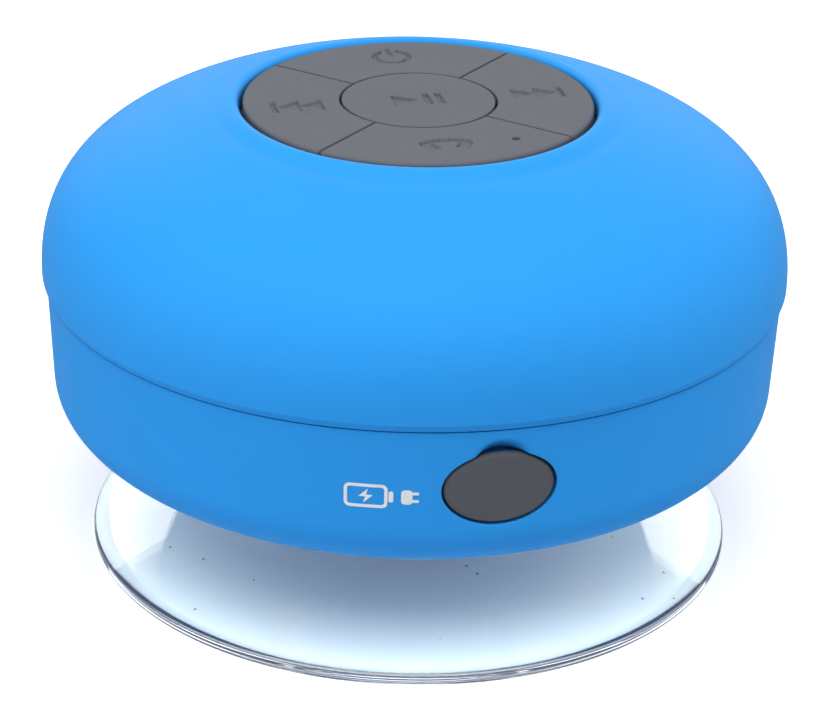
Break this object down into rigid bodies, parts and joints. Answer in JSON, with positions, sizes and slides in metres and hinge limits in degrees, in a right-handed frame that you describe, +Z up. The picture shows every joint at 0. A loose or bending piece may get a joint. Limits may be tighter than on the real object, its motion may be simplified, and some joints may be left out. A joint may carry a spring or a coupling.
{
  "type": "shower speaker",
  "caption": "Round domed wireless shower speaker with a silicone keypad on top, a side charging port under a fold-down plug, and a swivelling clear suction cup.",
  "frame": {"origin": "centre of the suction cup's sealing plane", "axes": "+Z up the speaker's axis towards the keypad, -Y towards the charging port and the call key, +X towards the next-track key"},
  "size_m": [0.086, 0.086, 0.0545],
  "materials": {
    "casing_blue": "soft-touch rubberised paint, matte",
    "keypad_grey": "matte moulded silicone",
    "plug_grey": "matte moulded silicone",
    "cup_clear": "clear soft PVC, glossy",
    "seal_rubber": "matte",
    "screw_steel": "zinc plated",
    "board_green": "solder mask",
    "switch_metal": "stamped",
    "socket_metal": "stamped, plated",
    "moulding_black": "matte",
    "led_clear": "clear resin",
    "capacitor_can": "satin can",
    "connector_ivory": "matte",
    "cell_foil": "satin foil pouch",
    "foam_grey": "closed-cell foam",
    "basket_black": "powder coated",
    "cone_paper": "pressed paper",
    "spider_cloth": "impregnated cloth",
    "coil_copper": "enamelled wire",
    "plate_zinc": "zinc plated",
    "magnet_ferrite": "sintered",
    "terminal_board": "laminate",
    "mesh_black": "woven screen",
    "wire_red": "insulated"
  },
  "bodies": {
    "casing": {"top_shell": "casing_blue", "lower_shell": "casing_blue", "casing_seal": "seal_rubber", "case_screws": "screw_steel", "keypad_membrane": "keypad_grey", "key_board": "board_green", "key_board_screws": "screw_steel", "switch_bodies": "switch_metal", "microphone": "socket_metal", "microphone_boot": "seal_rubber", "status_led": "led_clear", "usb_shell": "socket_metal", "usb_tongue": "moulding_black", "main_board": "board_green", "main_board_screws": "screw_steel", "radio_chip": "moulding_black", "amplifier_chip": "moulding_black", "smoothing_capacitor": "capacitor_can", "wire_connectors": "connector_ivory", "battery": "cell_foil", "battery_pad": "foam_grey", "cell_guard_board": "board_green", "speaker_basket": "basket_black", "speaker_gasket": "foam_grey", "speaker_screws": "screw_steel", "speaker_surround": "seal_rubber", "spider": "spider_cloth", "top_plate": "plate_zinc", "magnet": "magnet_ferrite", "yoke": "plate_zinc", "speaker_terminals": "terminal_board", "acoustic_mesh": "mesh_black", "speaker_wires": "wire_red", "battery_wires": "wire_red", "key_board_wires": "connector_ivory"},
    "play_key": {"key_play": "keypad_grey"},
    "power_key": {"key_power": "keypad_grey"},
    "call_key": {"key_call": "keypad_grey"},
    "previous_key": {"key_previous": "keypad_grey"},
    "next_key": {"key_next": "keypad_grey"},
    "play_stem": {"switch_stem_play": "moulding_black"},
    "power_stem": {"switch_stem_power": "moulding_black"},
    "call_stem": {"switch_stem_call": "moulding_black"},
    "previous_stem": {"switch_stem_previous": "moulding_black"},
    "next_stem": {"switch_stem_next": "moulding_black"},
    "plug": {"port_plug": "plug_grey"},
    "cone_assembly": {"speaker_cone": "cone_paper", "dust_cap": "cone_paper", "voice_coil": "coil_copper"},
    "cup_stud": {"cup_neck": "cup_clear"},
    "cup_disc": {"cup_skirt": "cup_clear"}
  },
  "joints": [
    {"name": "play_press", "type": "slide", "parent": "casing", "child": "play_key", "axis": [0, 0, -1], "range_m": [0, 0.0006]},
    {"name": "power_press", "type": "slide", "parent": "casing", "child": "power_key", "axis": [0, 0, -1], "range_m": [0, 0.0006]},
    {"name": "call_press", "type": "slide", "parent": "casing", "child": "call_key", "axis": [0, 0, -1], "range_m": [0, 0.0006]},
    {"name": "previous_press", "type": "slide", "parent": "casing", "child": "previous_key", "axis": [0, 0, -1], "range_m": [0, 0.0006]},
    {"name": "next_press", "type": "slide", "parent": "casing", "child": "next_key", "axis": [0, 0, -1], "range_m": [0, 0.0006]},
    {"name": "play_switch", "type": "slide", "parent": "casing", "child": "play_stem", "axis": [0, 0, -1], "range_m": [0, 0.00025]},
    {"name": "power_switch", "type": "slide", "parent": "casing", "child": "power_stem", "axis": [0, 0, -1], "range_m": [0, 0.00025]},
    {"name": "call_switch", "type": "slide", "parent": "casing", "child": "call_stem", "axis": [0, 0, -1], "range_m": [0, 0.00025]},
    {"name": "previous_switch", "type": "slide", "parent": "casing", "child": "previous_stem", "axis": [0, 0, -1], "range_m": [0, 0.00025]},
    {"name": "next_switch", "type": "slide", "parent": "casing", "child": "next_stem", "axis": [0, 0, -1], "range_m": [0, 0.00025]},
    {"name": "plug_flap", "type": "hinge", "parent": "casing", "child": "plug", "pos_m": [0, -0.04168, 0.0227], "axis": [1, 0, 0], "range_deg": [0, 95]},
    {"name": "cone_excursion", "type": "slide", "parent": "casing", "child": "cone_assembly", "axis": [0, 0, 1], "range_m": [-0.0008, 0.0008], "deforming": ["speaker_surround", "spider"]},
    {"name": "cup_swivel", "type": "hinge", "parent": "casing", "child": "cup_stud", "pos_m": [0, 0, 0.0143], "axis": [0, 0, 1], "continuous": true},
    {"name": "cup_press", "type": "slide", "parent": "cup_stud", "child": "cup_disc", "axis": [0, 0, 1], "range_m": [0, 0.0035], "stiffness_N_per_m": 800}
  ],
  "couplings": [
    {"joint": "play_switch", "follows": "play_press", "ratio": 0.4166},
    {"joint": "power_switch", "follows": "power_press", "ratio": 0.4166},
    {"joint": "call_switch", "follows": "call_press", "ratio": 0.4166},
    {"joint": "previous_switch", "follows": "previous_press", "ratio": 0.4166},
    {"joint": "next_switch", "follows": "next_press", "ratio": 0.4166}
  ]
}
